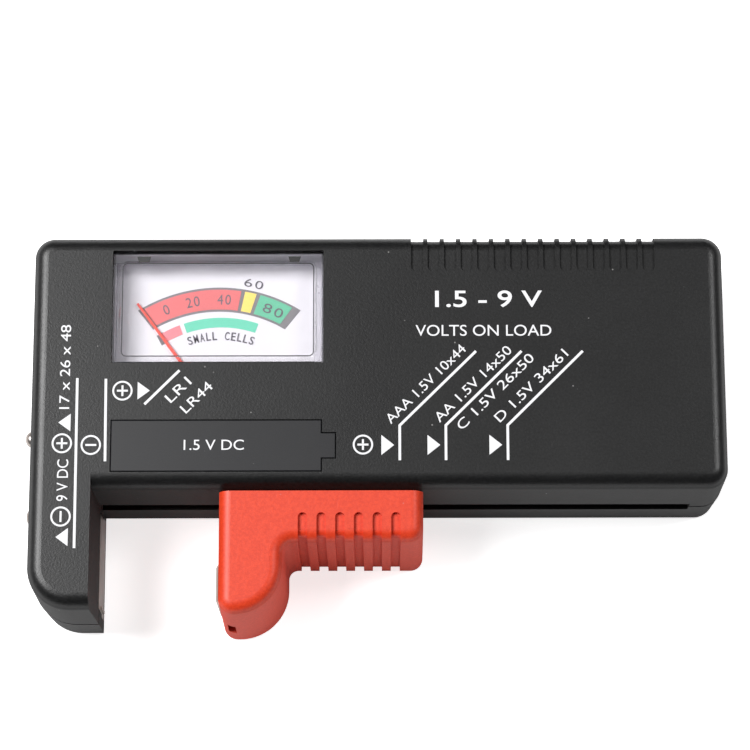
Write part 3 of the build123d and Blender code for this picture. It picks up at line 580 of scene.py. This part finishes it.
    def place(self, name, body, slot_name):
        """Finishes the print as one piece."""
        bmesh.ops.remove_doubles(self.mesh, verts=self.mesh.verts, dist=1e-8)
        bmesh.ops.recalc_face_normals(self.mesh, faces=self.mesh.faces)
        data = bpy.data.meshes.new(name)
        self.mesh.to_mesh(data)
        self.mesh.free()
        for material in self.inks:
            data.materials.append(material)
        piece = bpy.data.objects.new(name, data)
        bpy.context.scene.collection.objects.link(piece)
        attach(piece, body)
        return piece


WHITE_INK = ink("white_ink", (0.82, 0.82, 0.84))
LINE = 0.41
RING_INNER = 1.30
RING_OUTER = 1.59
SIGN_REACH = 0.86
SIGN_WIDTH = 0.31
SIGN_GAP = 0.18


def face_place(x, y):
    """Point on the case's face, in millimetres from its left edge and its main front edge."""
    return (CASE_LEFT + x, CASE_FRONT + y)


def polarity_mark(sheet, x, y, positive, upright=False):
    """Plus or minus sign in a ring."""
    across, up = face_place(x, y)
    sheet.ring((across, up), RING_INNER, RING_OUTER)
    side, rise = (0, SIGN_REACH) if upright else (SIGN_REACH, 0)
    sheet.bar((across - side, up - rise), (across + side, up + rise), SIGN_WIDTH)
    if positive:
        sheet.bar((across, up - SIGN_REACH), (across, up - SIGN_GAP), SIGN_WIDTH)
        sheet.bar((across, up + SIGN_GAP), (across, up + SIGN_REACH), SIGN_WIDTH)


def arrow(sheet, base_x, tip_x, y, half):
    """Solid triangle that points along X."""
    corners = [face_place(base_x, y - half), face_place(tip_x, y), face_place(base_x, y + half)]
    sheet.prism(corners if tip_x > base_x else corners[::-1])


def nine_volt_marks():
    """Marks of the block battery terminals, along the left edge."""
    sheet = Print(CASE_TOP, [WHITE_INK])
    sheet.bar(face_place(7.70, 17.87), face_place(7.82, -9.23), LINE)
    polarity_mark(sheet, 5.52, 7.39, True)
    polarity_mark(sheet, 5.61, -4.25, False, upright=True)
    arrow(sheet, 6.80, 4.88, 10.72, 1.40)
    arrow(sheet, 6.80, 4.90, -7.49, 1.42)
    sheet.words("9 V DC", face_place(5.75, 1.50), 6.6, 1.75, 90.0)
    sheet.words("17 x 26 x 48", face_place(5.75, 19.70), 13.6, 1.60, 90.0)
    sheet.place("print_nine_volt", "housing", "black_case")


def small_cell_marks():
    """Marks of the small cell position, left of the middle."""
    sheet = Print(CASE_TOP, [WHITE_INK])
    sheet.bar(face_place(12.19, 17.75), face_place(12.32, 4.50), LINE)
    polarity_mark(sheet, 10.05, 7.11, False)
    polarity_mark(sheet, 14.82, 15.82, True)
    arrow(sheet, 17.20, 19.12, 15.82, 1.42)
    sheet.bar(face_place(18.30, 13.62), face_place(23.72, 19.10), LINE)
    sheet.words("LR1", face_place(23.55, 15.95), 4.6, 1.55, 45.0)
    sheet.words("LR44", face_place(26.45, 14.75), 6.0, 1.55, 45.0)
    sheet.place("print_small_cells", "housing", "black_case")


def size_marks():
    """Marks of the four round cell sizes: arrows, bent lines and their labels."""
    sheet = Print(CASE_TOP, [WHITE_INK])
    polarity_mark(sheet, 52.54, 7.09, True)
    rows = [(55.41, 58.29, 70.33), (62.62, 65.50, 77.50), (72.28, 75.17, 87.13)]
    for arrow_x, line_x, end_x in rows:
        arrow(sheet, arrow_x, arrow_x + 2.0, 7.02, 1.60)
        sheet.path(
            [face_place(line_x, 4.58), face_place(line_x, 10.15), face_place(end_x, 22.12)],
            LINE,
        )
    labels = [
        ("AAA 1.5V 10x44", 62.38, 16.85, 16.9),
        ("AA 1.5V 14x50", 69.80, 16.85, 16.3),
        ("C 1.5V 26x50", 73.30, 15.60, 16.3),
        ("D 1.5V 34x61", 78.95, 16.55, 15.4),
    ]
    for text, x, y, width in labels:
        sheet.words(text, face_place(x, y), width, 1.55, 45.0)
    sheet.place("print_cell_sizes", "housing", "black_case")


def title_marks():
    """Voltage range and its note, right of the dial."""
    sheet = Print(CASE_TOP, [WHITE_INK])
    sheet.words("1.5 - 9 V", face_place(72.40, 30.65), 16.9, 2.75, 0.0, weight=0.01)
    sheet.words("VOLTS ON LOAD", face_place(71.55, 25.50), 21.4, 1.80, 0.0)
    sheet.place("print_title", "housing", "black_case")


def panel_marks():
    """Voltage on the insert panel."""
    sheet = Print(CASE_TOP, [WHITE_INK])
    sheet.words("1.5 V DC", face_place(29.25, 7.10), 9.4, 1.65, 0.0)
    sheet.place("print_panel", "housing", "black_panel")


def cover_catch_shade():
    """Two small black prisms, drawn as catches on the back rim of the clear cover: painted shade standing in for
    two dark openings there.
    """
    sheet = Print(window_high.z / MM, [BLACK_PLASTIC])
    back, front, taper = 37.87, 36.95, 0.25
    for left, right in ((16.7, 18.9), (40.7, 42.7)):
        sheet.prism(
            [
                face_place(left + taper, front),
                face_place(right - taper, front),
                face_place(right, back),
                face_place(left, back),
            ]
        )
    sheet.place("cover_catch_shade", "housing", "black_case")


def painted_pane_edge():
    """Dark line where the clear cover's pane rises from its rim: painted shade standing in for the refraction at
    that step.
    """
    sheet = Print(window_high.z / MM, [PANE_EDGE_SHADE])
    low = ((window_low.x + PANE_SIDE) / MM, (window_low.y + PANE_FRONT) / MM)
    high = ((window_high.x - PANE_SIDE) / MM, (window_high.y - PANE_BACK) / MM)
    corner, width = 0.8, 0.15
    inner_low, inner_high = (low[0] + width, low[1] + width), (high[0] - width, high[1] - width)
    sheet.hoop(rounded_box(inner_low, inner_high, corner - width), rounded_box(low, high, corner))
    sheet.place("painted_pane_edge", "housing", "clear_cover")


# ---------------------------------------------------------------- dial

DIAL_INKS = [
    ink("dial_grey", (0.20, 0.19, 0.20)),
    ink("dial_red", (0.72, 0.17, 0.17)),
    ink("dial_yellow", (0.95, 0.70, 0.17)),
    ink("dial_green", (0.13, 0.48, 0.30)),
    ink("dial_pale_green", (0.15, 0.60, 0.42)),
    ink("dial_pink", (0.82, 0.25, 0.28)),
    ink("dial_text", (0.12, 0.11, 0.13)),
]
GREY, RED, YELLOW, GREEN, PALE_GREEN, PINK, DARK = range(7)


def dial_print():
    """Two coloured scales with their figures."""
    sheet = Print(CARD_TOP, DIAL_INKS)
    upper = (PIVOT_X, CASE_FRONT + 9.8)
    outer, inner = 24.1, 20.1
    edge_outer, edge_inner = 32.6, 31.5
    rim = 0.36

    def cross(share):
        return (edge_inner * (2 * share - 1), edge_outer * (2 * share - 1))

    sheet.band(upper, inner, outer, cross(0.0), cross(1.0), GREY)
    upper_print = Print(CARD_TOP + INK_THICKNESS, DIAL_INKS)
    for first, last, colour in ((0.035, 0.630, RED), (0.653, 0.722, YELLOW), (0.746, 0.949, GREEN)):
        upper_print.band(upper, inner + rim, outer - rim, cross(first), cross(last), colour)
    figures = Print(CARD_TOP + 2 * INK_THICKNESS, DIAL_INKS)
    figures.curved_words("0  20  40", upper, 22.1, -22.5, 3.6, 1.65, DARK)
    figures.curved_words("80", upper, 22.0, 20.5, 25.5, 1.55, DARK)
    figures.curved_words("60", upper, 25.3, 10.5, 14.5, 1.35, DARK)
    lower = (PIVOT_X + 0.3, CASE_FRONT + 10.5)
    sheet.band(lower, 16.8, 18.4, (-18.9, -18.9), (18.9, 18.9), PALE_GREEN)
    sheet.band(lower, 16.7, 18.5, (-34.2, -33.6), (-30.2, -29.8), GREY)
    upper_print.band(lower, 16.8, 18.4, (-31.5, -31.5), (-21.2, -21.0), PINK)
    figures.curved_words("SMALL CELLS", lower, 15.4, -18.6, 18.6, 1.35, DARK, weight=0.012)
    layers = {"dial_bands": sheet, "dial_sectors": upper_print, "dial_figures": figures}
    for name, layer in layers.items():
        layer.place(name, "housing", "printed_scale")


# ---------------------------------------------------------------- studio


# The floor glows more to the camera than it does to the tester's walls, which keeps them dark.
FLOOR_GLOW = 0.75
FLOOR_GLOW_ON_OBJECT = 0.22
FLOOR_REACH = 3.0
FLOOR_LEVEL = -0.05 * MM

SENSOR_MM = 36.0
LENS_MM = 136.85
CAMERA_PLACE = (0.00012, -0.11041, 0.45954)
CAMERA_PAN = -0.002
CAMERA_TILT = 0.24347
CAMERA_ROLL = 0.002


def plain_floor():
    """Pale light table, a hair below the tester so that no faces share a plane."""
    mesh = bpy.data.meshes.new("studio_floor")
    corners = [
        (x * FLOOR_REACH, y * FLOOR_REACH, FLOOR_LEVEL) for x, y in ((-1, -1), (1, -1), (1, 1), (-1, 1))
    ]
    mesh.from_pydata(corners, [], [(0, 1, 2, 3)])
    finish = Finish("floor_paper")
    uneven = finish.use("mottle", Patches_per_metre=3.0)["Fac"]
    finish.colour(finish.blend(uneven, (0.90, 0.90, 0.90), (0.92, 0.92, 0.92)))
    finish.roughness(finish.span(uneven, 0.8, 0.9))
    seen = finish.add("ShaderNodeLightPath").outputs["Is Camera Ray"]
    glow = finish.blend(seen, (FLOOR_GLOW_ON_OBJECT,) * 3, (FLOOR_GLOW,) * 3)
    finish.join(glow, finish.shader.inputs["Emission Color"])
    finish.shader.inputs["Emission Strength"].default_value = 1.0
    mesh.materials.append(finish.material)
    floor = bpy.data.objects.new("studio_floor", mesh)
    bpy.context.scene.collection.objects.link(floor)


def softbox(name, place, target, size, power):
    """Square area light aimed at a point."""
    light = bpy.data.lights.new(name, "AREA")
    light.shape = "SQUARE"
    light.size = size
    light.energy = power
    lamp = bpy.data.objects.new(name, light)
    lamp.location = place
    lamp.rotation_euler = (Vector(target) - Vector(place)).to_track_quat("-Z", "Y").to_euler()
    bpy.context.scene.collection.objects.link(lamp)


def studio():
    """Broad softbox on the left, a smaller one on the right and a dim surround."""
    softbox("left_softbox", (-0.60, 0.18, 0.92), (0.0, 0.0, 0.0), 0.55, 16.0)
    softbox("right_softbox", (0.62, 0.20, 0.90), (0.0, 0.0, 0.0), 0.25, 3.8)
    world = bpy.data.worlds.new("studio_surround")
    world.use_nodes = True
    background = world.node_tree.nodes["Background"]
    background.inputs["Color"].default_value = (0.95, 0.97, 1.0, 1.0)
    background.inputs["Strength"].default_value = 0.06
    bpy.context.scene.world = world
    bpy.context.scene.view_settings.view_transform = "Standard"


def camera():
    """High camera, a little in front of the tester, with a long lens."""
    data = bpy.data.cameras.new("main_camera")
    data.sensor_width = SENSOR_MM
    data.lens = LENS_MM
    data.clip_start = 0.01
    data.clip_end = 20.0
    view = bpy.data.objects.new("main_camera", data)
    view.location = CAMERA_PLACE
    pan = Matrix.Rotation(CAMERA_PAN, 3, "Z")
    tilt = Matrix.Rotation(CAMERA_TILT, 3, "X")
    roll = Matrix.Rotation(CAMERA_ROLL, 3, "Y")
    view.rotation_euler = (pan @ tilt @ roll).to_euler()
    bpy.context.scene.collection.objects.link(view)
    bpy.context.scene.camera = view


def main():
    """Everything that is seen."""
    camera()
    studio()
    plain_floor()
    dress_packed_pieces()
    nine_volt_marks()
    small_cell_marks()
    size_marks()
    title_marks()
    panel_marks()
    cover_catch_shade()
    painted_pane_edge()
    dial_print()


main()
